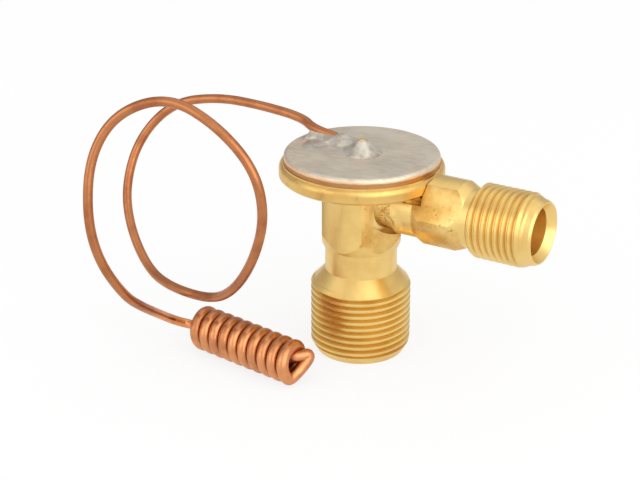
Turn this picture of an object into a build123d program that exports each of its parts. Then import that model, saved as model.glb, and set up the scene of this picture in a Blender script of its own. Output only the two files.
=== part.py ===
"""Refrigerant expansion valve, right-angle body, with a soldered diaphragm head and a coiled sensing tube.

Sizes are millimetres. The origin is the centre of the outlet's end face, +Z runs up the outlet barrel
to the head, and the inlet arm points along +X. The valve stands on its outlet face and its coil.
"""

from build123d import *
import os
from math import cos, pi, radians, sin, sqrt, tan

# ---- Outlet barrel, from its end face up ----
outlet_thread_dia = 22.0
outlet_face_dia = 19.4
outlet_lead_height = 2.3
outlet_thread_length = 16.0
outlet_bore_dia = 15.2
outlet_bore_depth = 6.5
shoulder_height = 3.3
neck_dia = 15.8
neck_length = 5.6
hex_across_flats = 17.1
hex_length = 15.6
hex_foot_dia = 16.6
hex_cone_height = 3.9

# ---- Inlet arm, from the barrel out ----
arm_drop = 3.85
undercut_dia = 12.2
undercut_floor = 6.4
undercut_width = 4.2
ring_cut_dia = 14.7
stub_dia = 13.4
stub_length = 5.0
forging_dia = 15.2
forging_length = 11.2
forging_corner_angles = [-60, -17, 1, 64, 83, 97, 116, 179, 197, 240]
forging_start_cone = 1.8
forging_end_cone = 2.0
arm_neck_dia = 13.0
arm_neck_length = 1.4
inlet_chamfer_length = 1.1
inlet_thread_dia = 16.0
inlet_thread_length = 10.5
nose_round_length = 1.65
nose_round_drop = 0.8
nose_taper_length = 1.15
nose_taper_drop = 0.3
nose_tip_length = 0.5
nose_tip_drop = 0.3
inlet_bore_dia = 10.1
inlet_bore_depth = 10.1
inlet_lip_width = 0.25
inlet_mouth_depth = 1.7
spot_face_clearance = 0.1
relief_dia = 4.4
relief_distance = 15.4
relief_offset = -6.2
relief_depth = 1.2

# ---- Passages inside the body, from its top face down ----
top_bore_dia = 14.4
top_bore_depth = 2.9
chamber_roof = 1.6
chamber_dia = 4.4
chamber_height = 4.8
seat_dia = 6.0
seat_length = 3.2
guide_bore_dia = 12.4
strainer_bore_dia = 9.2
strainer_bore_length = 12.5
rod_clearance = 0.05

# ---- Head ----
gasket_thickness = 0.3
gasket_width = 1.0
gasket_clearance = 0.1
spigot_clearance = 0.05
spigot_floor_gap = 0.2
hub_clearance = 0.1
flange_dia = 35.9
flange_foot_width = 0.55
flange_foot_chamfer = 0.5
flange_side_height = 1.4
flange_floor = 0.9
flange_height = 2.8
flange_rim_height = 0.4
rim_setback = 0.75
rim_lip_width = 0.25
plate_side_clearance = 0.4
diaphragm_thickness = 0.15
diaphragm_clearance = 0.05
corrugation_count = 3
corrugation_height = 0.3
corrugation_width = 1.2
corrugation_pitch = 1.7
corrugation_margin = 0.7
cap_wall = 1.0
cap_height = 2.45
cap_roof = 0.9
cap_edge_radius = 0.85
port_dia = 1.0
solder_bead_height = 0.3
charge_plug_dia = 2.0
charge_plug_length = 3.8
charge_plug_dome = 0.5
solder_foot_dia = 7.2
solder_tip_dia = 2.3
solder_height = 2.7
solder_hollow = 0.35
mound_foot_dia = 5.0
mound_tip_dia = 2.6
mound_height = 2.4
ridge_foot_width = 4.0
ridge_top_width = 2.3
ridge_height = 0.8
ridge_length = 12.2

# ---- Valve train ----
plate_dia = 18.4
plate_thickness = 1.05
plate_clearance = 0.15
plate_hub_dia = 11.2
plate_hub_length = 2.4
rod_dia = 1.5
rod_circle_radius = 4.8
rod_angles = [60, 180, 300]
ball_dia = 3.5
ball_seat_gap = 0.018
ball_sink = 0.8
ball_pocket_clearance = 0.05
orifice_dia = 2.4
seat_mouth_dia = 3.5
carrier_clearance = 0.3
carrier_thickness = 1.8
carrier_notch_dia = 4.0
carrier_notch_circle_radius = 5.2
carrier_spigot_dia = 5.0
carrier_spigot_length = 2.0
spring_wire_dia = 0.9
spring_mean_dia = 7.1
spring_length = 8.7
spring_turns = 5.5
spring_seat_clearance = 0.6
spring_seat_thickness = 1.45
spring_seat_spigot_length = 1.5
spring_seat_hole_dia = 2.8
screw_clearance = 0.05
screw_length = 5.0
screw_socket_across_flats = 5.0
screw_flow_hole_dia = 2.2
screw_flow_circle_radius = 4.4
screw_flow_hole_count = 4

# ---- Strainer in the inlet ----
strainer_clearance = 0.02
ferrule_length = 2.6
ferrule_inset = 0.4
screen_dia = 7.2
screen_wall = 0.25
screen_length = 10.4
screen_inset = 0.6
window_length = 1.6
window_width = 1.0
window_rows = 3
window_pitch = 2.3
window_first = 2.0
windows_around = 8

# ---- Capillary and sensing coil ----
tube_dia = 2.1
coil_mean_radius = 3.89
coil_pitch = 2.82
coil_turns = 9.9
coil_start_angle = -108
coil_heading = -9.0
coil_origin_x = -29.25
coil_origin_y = -19.7
coil_lead_in = 1.9
coil_approach = 2.4
core_end = (26.9, 0.3, 1.2)
fold_tip = (28.9, 5.2, 1.3)
fold_tail = 2.2
fold_radii = [1.6, 1.2, 1.6]
capillary_points = [
    (-2.4, 2.6, 47.35),
    (-14.5, 4.0, 47.35),
    (-19.0, 6.5, 48.5),
    (-30.5, 7.5, 49.0),
    (-42.0, 7.2, 49.0),
    (-53.2, 5.0, 46.4),
    (-59.4, -0.3, 38.2),
    (-59.8, -5.8, 28.0),
    (-54.5, -11.5, 20.4),
    (-45.2, -17.4, 14.4),
    (-35.6, -21.6, 13.9),
    (-23.5, -23.6, 14.8),
    (-15.1, -27.1, 20.8),
    (-8.7, -29.4, 30.2),
    (-4.6, -31.5, 41.4),
    (-6.2, -32.6, 51.7),
    (-14.8, -33.0, 59.5),
    (-26.1, -33.4, 63.8),
    (-36.4, -37.2, 59.9),
    (-40.5, -41.8, 51.4),
    (-40.1, -44.7, 39.0),
    (-38.6, -43.5, 28.3),
    (-36.2, -38.2, 18.4),
    (-36.6, -31.4, 13.0),
    (-37.0, -25.6, 9.0),
    (-36.9, -21.9, 6.8),
    (-35.3, -19.9, 5.6),
]

# ---- Heights and distances that follow from the sizes above ----
shoulder_top = outlet_thread_length + shoulder_height
hex_bottom = shoulder_top + neck_length
body_top = hex_bottom + hex_length
hex_corner_radius = hex_across_flats / sqrt(3)
arm_height = body_top - arm_drop

stub_start = undercut_floor + undercut_width
stub_end = stub_start + stub_length
forging_end = stub_end + forging_length
arm_neck_end = forging_end + arm_neck_length
thread_start = arm_neck_end + inlet_chamfer_length
thread_end = thread_start + inlet_thread_length
nose_round_end = thread_end + nose_round_length
nose_taper_end = nose_round_end + nose_taper_length
inlet_face = nose_taper_end + nose_tip_length
nose_round_radius = inlet_thread_dia / 2 - nose_round_drop
nose_taper_radius = nose_round_radius - nose_taper_drop
nose_tip_radius = nose_taper_radius - nose_tip_drop
mouth_end = inlet_face - inlet_mouth_depth
inlet_bore_floor = inlet_face - inlet_bore_depth
strainer_bore_floor = inlet_bore_floor - strainer_bore_length

top_bore_floor = body_top - top_bore_depth
chamber_top = top_bore_floor - chamber_roof
seat_top = chamber_top - chamber_height
seat_bottom = seat_top - seat_length
passage_height = chamber_top - chamber_dia / 2

flange_foot_radius = flange_dia / 2 - flange_foot_width
rim_radius = flange_dia / 2 - rim_setback
rim_inner_radius = rim_radius - rim_lip_width
cap_radius = rim_inner_radius - diaphragm_clearance
plate_recess_radius = plate_dia / 2 + plate_side_clearance
hub_bore_radius = plate_hub_dia / 2 + hub_clearance
corrugation_inner_radius = plate_recess_radius + corrugation_margin

flange_bottom = body_top + gasket_thickness
spigot_bottom = top_bore_floor + spigot_floor_gap
spigot_radius = top_bore_dia / 2 - spigot_clearance
flange_top = flange_bottom + flange_height
cap_bottom = flange_top + diaphragm_thickness
cap_top = cap_bottom + cap_height
cap_ceiling = cap_top - cap_roof

plate_top = flange_top - plate_clearance
plate_bottom = plate_top - plate_thickness
hub_bottom = plate_bottom - plate_hub_length
ball_centre = seat_bottom + seat_mouth_dia / 2 - sqrt(2) * (ball_dia / 2 + ball_seat_gap)
carrier_top = ball_centre - ball_dia / 2 + ball_sink
carrier_bottom = carrier_top - carrier_thickness
spring_bottom = carrier_bottom - spring_length
spring_seat_bottom = spring_bottom - spring_seat_thickness
screw_top = spring_seat_bottom - screw_clearance
screw_bottom = screw_top - screw_length

arm_axis = Axis((0, 0, arm_height), (1, 0, 0))


# ---- Helpers ----
def turned(points, mode=Mode.ADD):
    """Turns a closed outline of (radius, height) corners about the barrel's axis."""
    with BuildSketch(Plane.XZ) as outline:
        with BuildLine():
            Polyline(*points, close=True)
        make_face()
    revolve(outline.sketch, axis=Axis.Z, mode=mode)


def turned_on_arm(points, mode=Mode.ADD):
    """Turns a closed outline of (distance, radius) corners about the inlet arm's axis."""
    with BuildSketch(Plane.XZ) as outline:
        with BuildLine():
            Polyline(*[(distance, arm_height + radius) for distance, radius in points], close=True)
        make_face()
    revolve(outline.sketch, axis=arm_axis, mode=mode)


def arm_plane(distance):
    """A plane square to the arm, with its local X across the arm and its local Y up."""
    return Plane(origin=(distance, 0, arm_height), x_dir=(0, 1, 0), z_dir=(1, 0, 0))


def bend_radii(points):
    """The largest radius at each corner: 0.45 of the shorter run over the tangent of half the turn."""
    radii = []
    for before, corner, after in zip(points, points[1:], points[2:]):
        run_in = Vector(*corner) - Vector(*before)
        run_out = Vector(*after) - Vector(*corner)
        half_turn = radians(run_in.get_angle(run_out)) / 2
        radii.append(0.45 * min(run_in.length, run_out.length) / tan(half_turn))
    return radii


def save(piece, name):
    """Labels a finished piece and writes it under its node's name."""
    piece.part.label = name
    export_step(piece.part, f"parts/{name}.step")


os.makedirs("parts", exist_ok=True)

# ---- Valve body: a brass forging, turned, drilled and bored ----
with BuildPart() as hexagon:
    with BuildSketch(Plane.XY.offset(hex_bottom)):
        RegularPolygon(radius=hex_across_flats / 2, side_count=6, major_radius=False)
    extrude(amount=hex_length)
    turned(
        [
            (0, hex_bottom),
            (hex_foot_dia / 2, hex_bottom),
            (hex_corner_radius, hex_bottom + hex_cone_height),
            (hex_corner_radius, body_top),
            (0, body_top),
        ],
        mode=Mode.INTERSECT,
    )
    turned_on_arm(
        [
            (undercut_floor, undercut_dia / 2),
            (undercut_floor, ring_cut_dia / 2),
            (stub_start, ring_cut_dia / 2),
            (stub_start, undercut_dia / 2),
        ],
        mode=Mode.SUBTRACT,
    )

with BuildPart() as forging:
    with BuildSketch(arm_plane(stub_end)):
        with BuildLine():
            Polyline(
                *[
                    (forging_dia / 2 * cos(radians(angle)), forging_dia / 2 * sin(radians(angle)))
                    for angle in forging_corner_angles
                ],
                close=True,
            )
        make_face()
    extrude(amount=forging_length)
    turned_on_arm(
        [
            (stub_end, 0),
            (stub_end, stub_dia / 2),
            (stub_end + forging_start_cone, forging_dia / 2),
            (forging_end - forging_end_cone, forging_dia / 2),
            (forging_end, arm_neck_dia / 2),
            (forging_end, 0),
        ],
        mode=Mode.INTERSECT,
    )

with BuildPart() as valve_body:
    turned(
        [
            (0, 0),
            (outlet_face_dia / 2, 0),
            (outlet_thread_dia / 2, outlet_lead_height),
            (outlet_thread_dia / 2, outlet_thread_length),
            (neck_dia / 2, shoulder_top),
            (neck_dia / 2, hex_bottom),
            (0, hex_bottom),
        ]
    )
    add(hexagon.part)
    turned_on_arm(
        [
            (0, 0),
            (0, undercut_dia / 2),
            (stub_start, undercut_dia / 2),
            (stub_start, stub_dia / 2),
            (stub_end, stub_dia / 2),
            (stub_end, 0),
        ]
    )
    add(forging.part)
    turned_on_arm(
        [
            (forging_end, 0),
            (forging_end, arm_neck_dia / 2),
            (arm_neck_end, arm_neck_dia / 2),
            (thread_start, inlet_thread_dia / 2),
            (thread_end, inlet_thread_dia / 2),
            (nose_round_end, nose_round_radius),
            (nose_taper_end, nose_taper_radius),
            (inlet_face, nose_tip_radius),
            (inlet_face, 0),
        ]
    )
    # The spot face that clears the head cuts into the top of the arm, and a round relief beside it.
    with BuildSketch(Plane.XY.offset(body_top)):
        Circle(flange_dia / 2 + spot_face_clearance)
    extrude(amount=forging_dia, mode=Mode.SUBTRACT)
    with BuildSketch(Plane.XY.offset(body_top - relief_depth)):
        with Locations((relief_distance, relief_offset)):
            Circle(relief_dia / 2)
    extrude(amount=forging_dia, mode=Mode.SUBTRACT)
    # Bores on the barrel's axis, from the outlet up to the counterbore under the head.
    for radius, bottom, top in [
        (outlet_bore_dia / 2, 0, outlet_bore_depth),
        (guide_bore_dia / 2, outlet_bore_depth, seat_bottom),
        (seat_dia / 2, seat_bottom, seat_top),
        (chamber_dia / 2, seat_top, chamber_top),
        (top_bore_dia / 2, top_bore_floor, body_top),
    ]:
        with BuildSketch(Plane.XY.offset(bottom)):
            Circle(radius)
        extrude(amount=top - bottom, mode=Mode.SUBTRACT)
    # Bores on the arm's axis, and the drilling from the strainer to the chamber over the seat.
    turned_on_arm(
        [
            (strainer_bore_floor, 0),
            (strainer_bore_floor, strainer_bore_dia / 2),
            (inlet_bore_floor, strainer_bore_dia / 2),
            (inlet_bore_floor, inlet_bore_dia / 2),
            (mouth_end, inlet_bore_dia / 2),
            (inlet_face, nose_tip_radius - inlet_lip_width),
            (inlet_face, 0),
        ],
        mode=Mode.SUBTRACT,
    )
    with BuildSketch(Plane(origin=(0, 0, passage_height), x_dir=(0, 1, 0), z_dir=(1, 0, 0))):
        Circle(chamber_dia / 2)
    extrude(amount=strainer_bore_floor, mode=Mode.SUBTRACT)
    with BuildSketch(Plane.XY.offset(seat_bottom)):
        for angle in rod_angles:
            with PolarLocations(rod_circle_radius, 1, start_angle=angle):
                Circle(rod_dia / 2 + rod_clearance)
    extrude(amount=top_bore_floor - seat_bottom, mode=Mode.SUBTRACT)
save(valve_body, "valve_body")

# ---- Head: gasket, flanged base, diaphragm, cap and solder ----
gasket_inner_radius = top_bore_dia / 2 + gasket_clearance
with BuildPart() as head_gasket:
    with BuildSketch(Plane.XY.offset(body_top)):
        Circle(gasket_inner_radius + gasket_width)
        Circle(gasket_inner_radius, mode=Mode.SUBTRACT)
    extrude(amount=gasket_thickness)
save(head_gasket, "head_gasket")

flange_side_top = flange_bottom + flange_foot_chamfer + flange_side_height
rim_top = flange_top + flange_rim_height
with BuildPart() as head_base:
    with BuildSketch(Plane.XZ):
        with BuildLine():
            Polyline(
                (rim_radius, rim_top),
                (rim_inner_radius, rim_top),
                (rim_inner_radius, flange_top),
                (plate_recess_radius, flange_top),
                (plate_recess_radius, flange_bottom + flange_floor),
                (hub_bore_radius, flange_bottom + flange_floor),
                (hub_bore_radius, spigot_bottom),
                (spigot_radius, spigot_bottom),
                (spigot_radius, flange_bottom),
                (flange_foot_radius, flange_bottom),
                (flange_dia / 2, flange_bottom + flange_foot_chamfer),
                (flange_dia / 2, flange_side_top),
            )
            TangentArc((flange_dia / 2, flange_side_top), (rim_radius, rim_top), tangent=(0, 1))
        make_face()
    revolve(axis=Axis.Z)
save(head_base, "head_base")

with BuildPart() as diaphragm:
    with BuildSketch(Plane.XZ):
        with BuildLine():
            for lift in (0, diaphragm_thickness):
                height = flange_top + lift
                reached = 0
                for wave in range(corrugation_count):
                    start = corrugation_inner_radius + wave * corrugation_pitch
                    end = start + corrugation_width
                    Line((reached, height), (start, height))
                    crest = ((start + end) / 2, height + corrugation_height)
                    ThreePointArc((start, height), crest, (end, height))
                    reached = end
                Line((reached, height), (cap_radius, height))
            Line((0, flange_top), (0, cap_bottom))
            Line((cap_radius, flange_top), (cap_radius, cap_bottom))
        make_face()
    revolve(axis=Axis.Z)
save(diaphragm, "diaphragm")

port_x, port_y, tube_height = capillary_points[0]
with BuildPart() as head_cap:
    with BuildSketch(Plane.XZ):
        with BuildLine():
            Polyline(
                (cap_radius - cap_edge_radius, cap_top),
                (charge_plug_dia / 2, cap_top),
                (charge_plug_dia / 2, cap_ceiling),
                (cap_radius - cap_wall, cap_ceiling),
                (cap_radius - cap_wall, cap_bottom),
                (cap_radius, cap_bottom),
                (cap_radius, cap_top - cap_edge_radius),
            )
            TangentArc(
                (cap_radius, cap_top - cap_edge_radius),
                (cap_radius - cap_edge_radius, cap_top),
                tangent=(0, 1),
            )
        make_face()
    revolve(axis=Axis.Z)
    with BuildSketch(Plane(origin=(port_x, port_y, cap_ceiling))):
        Circle(port_dia / 2)
    extrude(amount=cap_roof, mode=Mode.SUBTRACT)
save(head_cap, "head_cap")

with BuildPart() as rim_solder:
    with BuildSketch(Plane.XY.offset(rim_top)):
        Circle(rim_radius)
        Circle(cap_radius, mode=Mode.SUBTRACT)
    extrude(amount=solder_bead_height)
save(rim_solder, "rim_solder")

with BuildPart() as charge_plug:
    with BuildSketch(Plane.XY.offset(cap_ceiling)):
        Circle(charge_plug_dia / 2)
    extrude(amount=charge_plug_length)
    fillet(charge_plug.edges().sort_by(Axis.Z)[-1], radius=charge_plug_dome)
save(charge_plug, "charge_plug")

# ---- Capillary tube: straight runs joined by arcs, each as large as its two runs allow ----
coil_height = coil_mean_radius + tube_dia / 2
coil_frame = Plane(
    origin=(coil_origin_x, coil_origin_y, coil_height),
    x_dir=(-sin(radians(coil_heading)), cos(radians(coil_heading)), 0),
    z_dir=(cos(radians(coil_heading)), sin(radians(coil_heading)), 0),
)


def in_coil(along, across, up):
    """A point beside the coil's axis: along it, across it towards the back, and up from it."""
    return coil_frame.from_local_coords(Vector(across, up, along))


coil_entry = in_coil(-coil_lead_in, 0, 0)
core_direction = (in_coil(*core_end) - coil_entry).normalized()
approach_point = coil_entry - core_direction * coil_approach
route_points = capillary_points + [tuple(approach_point), tuple(coil_entry)]
route_radii = bend_radii(route_points)
print("capillary bend radii", [round(radius, 1) for radius in route_radii])

with BuildPart() as capillary_tube:
    with BuildLine() as route:
        FilletPolyline(*route_points, radius=route_radii)
    with BuildSketch(Plane(origin=route.line @ 0, z_dir=route.line % 0)):
        Circle(tube_dia / 2)
    sweep()
route_length = sum(edge.length for edge in route.edges())
tube_section = pi * tube_dia**2 / 4
print("capillary length", round(route_length, 1))
print("its volume over section times length", capillary_tube.part.volume / tube_section / route_length)
save(capillary_tube, "capillary_tube")

# ---- Solder on the cap: a peak round the charge plug, and a fillet that beds the capillary ----
with BuildPart() as cap_solder:
    with BuildSketch(Plane.XZ):
        with BuildLine():
            Polyline(
                (solder_tip_dia / 2, cap_top + solder_height),
                (charge_plug_dia / 2, cap_top + solder_height),
                (charge_plug_dia / 2, cap_top),
                (solder_foot_dia / 2, cap_top),
            )
            SagittaArc(
                (solder_foot_dia / 2, cap_top), (solder_tip_dia / 2, cap_top + solder_height), solder_hollow
            )
        make_face()
    revolve(axis=Axis.Z)
    with Locations((port_x, port_y, cap_top)):
        Cone(
            mound_foot_dia / 2,
            mound_tip_dia / 2,
            mound_height,
            align=(Align.CENTER, Align.CENTER, Align.MIN),
        )
    ridge_direction = Vector(*capillary_points[1]) - Vector(*capillary_points[0])
    with BuildSketch(
        Plane(
            origin=(port_x, port_y, cap_top),
            x_dir=Vector(0, 0, 1).cross(ridge_direction),
            z_dir=ridge_direction,
        )
    ) as ridge_section:
        with BuildLine():
            Polyline(
                (-ridge_foot_width / 2, 0),
                (-ridge_top_width / 2, ridge_height),
                (ridge_top_width / 2, ridge_height),
                (ridge_foot_width / 2, 0),
                close=True,
            )
        make_face()
    extrude(amount=ridge_length)
    add(capillary_tube.part, mode=Mode.SUBTRACT)
    with BuildSketch(Plane.XY.offset(cap_top)):
        Circle(charge_plug_dia / 2)
    extrude(amount=solder_height, mode=Mode.SUBTRACT)
save(cap_solder, "cap_solder")

# ---- Sensing coil: a straight core, a fold past the last turn, and the turns wound back over the core ----
coil_helix = Edge.make_helix(coil_pitch, coil_pitch * coil_turns, coil_mean_radius)
coil_start = radians(coil_start_angle)
coil_start_frame = Plane(
    origin=in_coil(coil_pitch * coil_start_angle / 360, 0, 0),
    x_dir=coil_frame.x_dir * cos(coil_start) + coil_frame.y_dir * sin(coil_start),
    z_dir=coil_frame.z_dir,
)
winding = coil_helix.moved(coil_start_frame.location)
winding_end = winding @ 1
fold_entry = winding_end + (winding % 1) * fold_tail

with BuildPart() as sensing_coil:
    with BuildLine() as core_line:
        FilletPolyline(
            coil_entry, in_coil(*core_end), in_coil(*fold_tip), fold_entry, winding_end, radius=fold_radii
        )
    with BuildSketch(Plane(origin=core_line.line @ 0, z_dir=core_line.line % 0)):
        Circle(tube_dia / 2)
    sweep()
    with BuildSketch(Plane(origin=winding @ 0, z_dir=winding % 0)) as winding_section:
        Circle(tube_dia / 2)
    sweep(path=winding, is_frenet=True)
save(sensing_coil, "sensing_coil")

# ---- Valve train: thrust plate, push rods, ball carrier, ball, seat and spring ----
with BuildPart() as thrust_plate:
    turned(
        [
            (0, hub_bottom),
            (plate_hub_dia / 2, hub_bottom),
            (plate_hub_dia / 2, plate_bottom),
            (plate_dia / 2, plate_bottom),
            (plate_dia / 2, plate_top),
            (0, plate_top),
        ]
    )
save(thrust_plate, "thrust_plate")

for number, angle in enumerate(rod_angles, start=1):
    with BuildPart() as push_rod:
        with BuildSketch(Plane.XY.offset(carrier_top)):
            with PolarLocations(rod_circle_radius, 1, start_angle=angle):
                Circle(rod_dia / 2)
        extrude(amount=hub_bottom - carrier_top)
    save(push_rod, f"push_rod_{number}")

with BuildPart() as ball_carrier:
    with BuildSketch(Plane.XY.offset(carrier_bottom)):
        Circle(guide_bore_dia / 2 - carrier_clearance)
        with PolarLocations(carrier_notch_circle_radius, len(rod_angles), start_angle=rod_angles[0] - 60):
            Circle(carrier_notch_dia / 2, mode=Mode.SUBTRACT)
    extrude(amount=carrier_thickness)
    with BuildSketch(Plane.XY.offset(carrier_bottom - carrier_spigot_length)):
        Circle(carrier_spigot_dia / 2)
    extrude(amount=carrier_spigot_length)
    with Locations((0, 0, ball_centre)):
        Sphere(ball_dia / 2 + ball_pocket_clearance, mode=Mode.SUBTRACT)
save(ball_carrier, "ball_carrier")

with BuildPart() as valve_ball:
    with Locations((0, 0, ball_centre)):
        Sphere(ball_dia / 2)
save(valve_ball, "valve_ball")

with BuildPart() as valve_seat:
    turned(
        [
            (orifice_dia / 2, seat_top),
            (seat_dia / 2, seat_top),
            (seat_dia / 2, seat_bottom),
            (seat_mouth_dia / 2, seat_bottom),
            (orifice_dia / 2, seat_bottom + (seat_mouth_dia - orifice_dia) / 2),
        ]
    )
save(valve_seat, "valve_seat")

# The wire is wound a little long, and its two ends are ground flat.
spring_line = Edge.make_helix(
    spring_length / spring_turns, spring_length, spring_mean_dia / 2, center=(0, 0, spring_bottom)
)
with BuildPart() as superheat_spring:
    with BuildSketch(Plane(origin=spring_line @ 0, z_dir=spring_line % 0)):
        Circle(spring_wire_dia / 2)
    sweep(path=spring_line, is_frenet=True)
    with BuildSketch(Plane.XY.offset(spring_bottom)):
        Circle(spring_mean_dia)
    extrude(amount=spring_length, mode=Mode.INTERSECT)
save(superheat_spring, "superheat_spring")

# ---- Adjuster: spring seat and slotted screw below it ----
spring_seat_radius = guide_bore_dia / 2 - spring_seat_clearance
with BuildPart() as spring_seat:
    turned(
        [
            (spring_seat_hole_dia / 2, spring_seat_bottom),
            (spring_seat_radius, spring_seat_bottom),
            (spring_seat_radius, spring_bottom),
            (carrier_spigot_dia / 2, spring_bottom),
            (carrier_spigot_dia / 2, spring_bottom + spring_seat_spigot_length),
            (spring_seat_hole_dia / 2, spring_bottom + spring_seat_spigot_length),
        ]
    )
save(spring_seat, "spring_seat")

with BuildPart() as adjusting_screw:
    with BuildSketch(Plane.XY.offset(screw_bottom)):
        Circle(guide_bore_dia / 2 - screw_clearance)
        RegularPolygon(
            radius=screw_socket_across_flats / 2, side_count=6, major_radius=False, mode=Mode.SUBTRACT
        )
        with PolarLocations(screw_flow_circle_radius, screw_flow_hole_count):
            Circle(screw_flow_hole_dia / 2, mode=Mode.SUBTRACT)
    extrude(amount=screw_length)
save(adjusting_screw, "adjusting_screw")

# ---- Strainer: a pressed-in ferrule and a perforated cup ----
ferrule_end = inlet_bore_floor - ferrule_inset
with BuildPart() as strainer_ferrule:
    with BuildSketch(arm_plane(ferrule_end - ferrule_length)):
        Circle(strainer_bore_dia / 2 - strainer_clearance)
        Circle(screen_dia / 2, mode=Mode.SUBTRACT)
    extrude(amount=ferrule_length)
save(strainer_ferrule, "strainer_ferrule")

screen_end = inlet_bore_floor - screen_inset
screen_floor = screen_end - screen_length
with BuildPart() as strainer_screen:
    with BuildSketch(arm_plane(screen_floor)):
        Circle(screen_dia / 2)
    extrude(amount=screen_length)
    with BuildSketch(arm_plane(screen_floor + screen_wall)):
        Circle(screen_dia / 2 - screen_wall)
    extrude(amount=screen_length, mode=Mode.SUBTRACT)
    for row in range(window_rows):
        for step in range(windows_around // 2):
            place = (screen_floor + window_first + row * window_pitch, 0, arm_height)
            with Locations(Location(place, (step * 360 / windows_around, 0, 0))):
                Box(window_length, window_width, screen_dia + 1, mode=Mode.SUBTRACT)
save(strainer_screen, "strainer_screen")
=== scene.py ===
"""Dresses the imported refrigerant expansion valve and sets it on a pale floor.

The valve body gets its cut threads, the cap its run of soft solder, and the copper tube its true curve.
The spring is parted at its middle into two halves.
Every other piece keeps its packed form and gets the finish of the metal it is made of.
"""

from math import cos, exp, hypot, pi, radians, sin

import bmesh
import bpy
from bpy.props import FloatProperty, FloatVectorProperty, IntProperty, PointerProperty
from bpy.types import Operator, Panel, PropertyGroup
from mathutils import Matrix, Vector, noise


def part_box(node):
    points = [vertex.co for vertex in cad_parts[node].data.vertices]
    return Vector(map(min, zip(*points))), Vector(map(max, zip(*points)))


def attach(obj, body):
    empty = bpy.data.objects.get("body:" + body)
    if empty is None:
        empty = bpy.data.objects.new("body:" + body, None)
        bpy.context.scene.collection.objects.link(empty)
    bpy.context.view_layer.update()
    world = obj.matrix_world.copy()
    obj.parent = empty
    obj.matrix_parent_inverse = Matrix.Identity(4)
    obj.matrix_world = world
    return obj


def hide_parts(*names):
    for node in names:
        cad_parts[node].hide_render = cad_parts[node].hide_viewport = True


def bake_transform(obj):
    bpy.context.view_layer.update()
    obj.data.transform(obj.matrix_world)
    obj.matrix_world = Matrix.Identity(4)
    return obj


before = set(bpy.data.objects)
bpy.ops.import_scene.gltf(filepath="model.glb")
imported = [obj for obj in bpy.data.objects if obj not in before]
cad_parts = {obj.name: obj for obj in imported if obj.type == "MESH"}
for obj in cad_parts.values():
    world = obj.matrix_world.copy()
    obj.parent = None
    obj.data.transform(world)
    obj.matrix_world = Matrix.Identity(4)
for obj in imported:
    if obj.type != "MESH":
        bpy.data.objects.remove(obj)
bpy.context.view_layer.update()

bl_info = {
    "name": "Expansion Valve Dresser",
    "version": (1, 0, 0),
    "blender": (4, 5, 0),
    "location": "View3D > Sidebar > Valve",
    "description": "Cuts the threads, runs the solder and finishes each piece of an expansion valve",
    "category": "Object",
}

MM = 0.001

# Heights above the barrel's lower end, and the radii between which the hexagon's sides lie.
HEX_SIDE_BOTTOM = 27.9 * MM
BODY_TOP = 40.5 * MM
CAP_TOP = 46.2 * MM
HEX_INSIDE = 7.4 * MM
HEX_OUTSIDE = 10.6 * MM

# The arm: its height, distances out from the barrel's axis, and the radius inside which its block is bored.
ARM_HEIGHT = 36.65 * MM
ARM_START = 10.4 * MM
BLOCK_START = 15.7 * MM
BLOCK_END = 26.7 * MM
BLOCK_INSIDE = 6.2 * MM

# The middle of the rumpled spot at the arm's root.
SCAR_PLACE = (9.8 * MM, -5.2 * MM, 34.6 * MM)

SPRING_WIRE = 0.9 * MM


# ---- Small helpers ----
def linear(hex_colour):
    """An sRGB colour such as "#C08040" as linear red, green, blue and alpha."""
    channels = []
    for start in (1, 3, 5):
        value = int(hex_colour[start : start + 2], 16) / 255
        channels.append(value / 12.92 if value <= 0.04045 else ((value + 0.055) / 1.055) ** 2.4)
    return (*channels, 1.0)


def add_node(tree, kind, inputs=None, output=0, **settings):
    """Adds a node with its settings, feeds its inputs, and gives back the output that is asked for.

    An input is named by its identifier, and is fed a value or another node's output.
    """
    made = tree.nodes.new(kind)
    for name, value in settings.items():
        setattr(made, name, value)
    for identifier, value in (inputs or {}).items():
        target = next(found for found in made.inputs if found.identifier == identifier)
        if isinstance(value, bpy.types.NodeSocket):
            tree.links.new(value, target)
        else:
            target.default_value = value
    if isinstance(output, int):
        return made.outputs[output] if len(made.outputs) else made
    return next(found for found in made.outputs if found.identifier == output)


def link_object(name, data):
    """Puts a mesh or a curve into the scene as an object at the origin."""
    made = bpy.data.objects.new(name, data)
    bpy.context.scene.collection.objects.link(made)
    return made


def evaluated_mesh(thing):
    """The object's mesh with its modifiers in it, as a plain mesh."""
    depsgraph = bpy.context.evaluated_depsgraph_get()
    return bpy.data.meshes.new_from_object(thing.evaluated_get(depsgraph))


def merged_copy(node):
    """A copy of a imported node's mesh as one skin, its flat faces whole."""
    shell = bmesh.new()
    shell.from_mesh(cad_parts[node].data)
    bmesh.ops.remove_doubles(shell, verts=shell.verts, dist=0.0005 * MM)
    bmesh.ops.dissolve_limit(shell, angle_limit=radians(0.5), verts=shell.verts, edges=shell.edges)
    mesh = bpy.data.meshes.new(node)
    shell.to_mesh(mesh)
    shell.free()
    return mesh


def smooth(mesh, angle):
    """Shades the mesh smooth, with a hard edge wherever its faces meet at more than the angle."""
    mesh.shade_smooth()
    mesh.set_sharp_from_angle(angle=angle)


def settings_of(context):
    """The settings of the body, the tube and the head."""
    return context.scene.valve_body, context.scene.valve_tube, context.scene.valve_head


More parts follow.
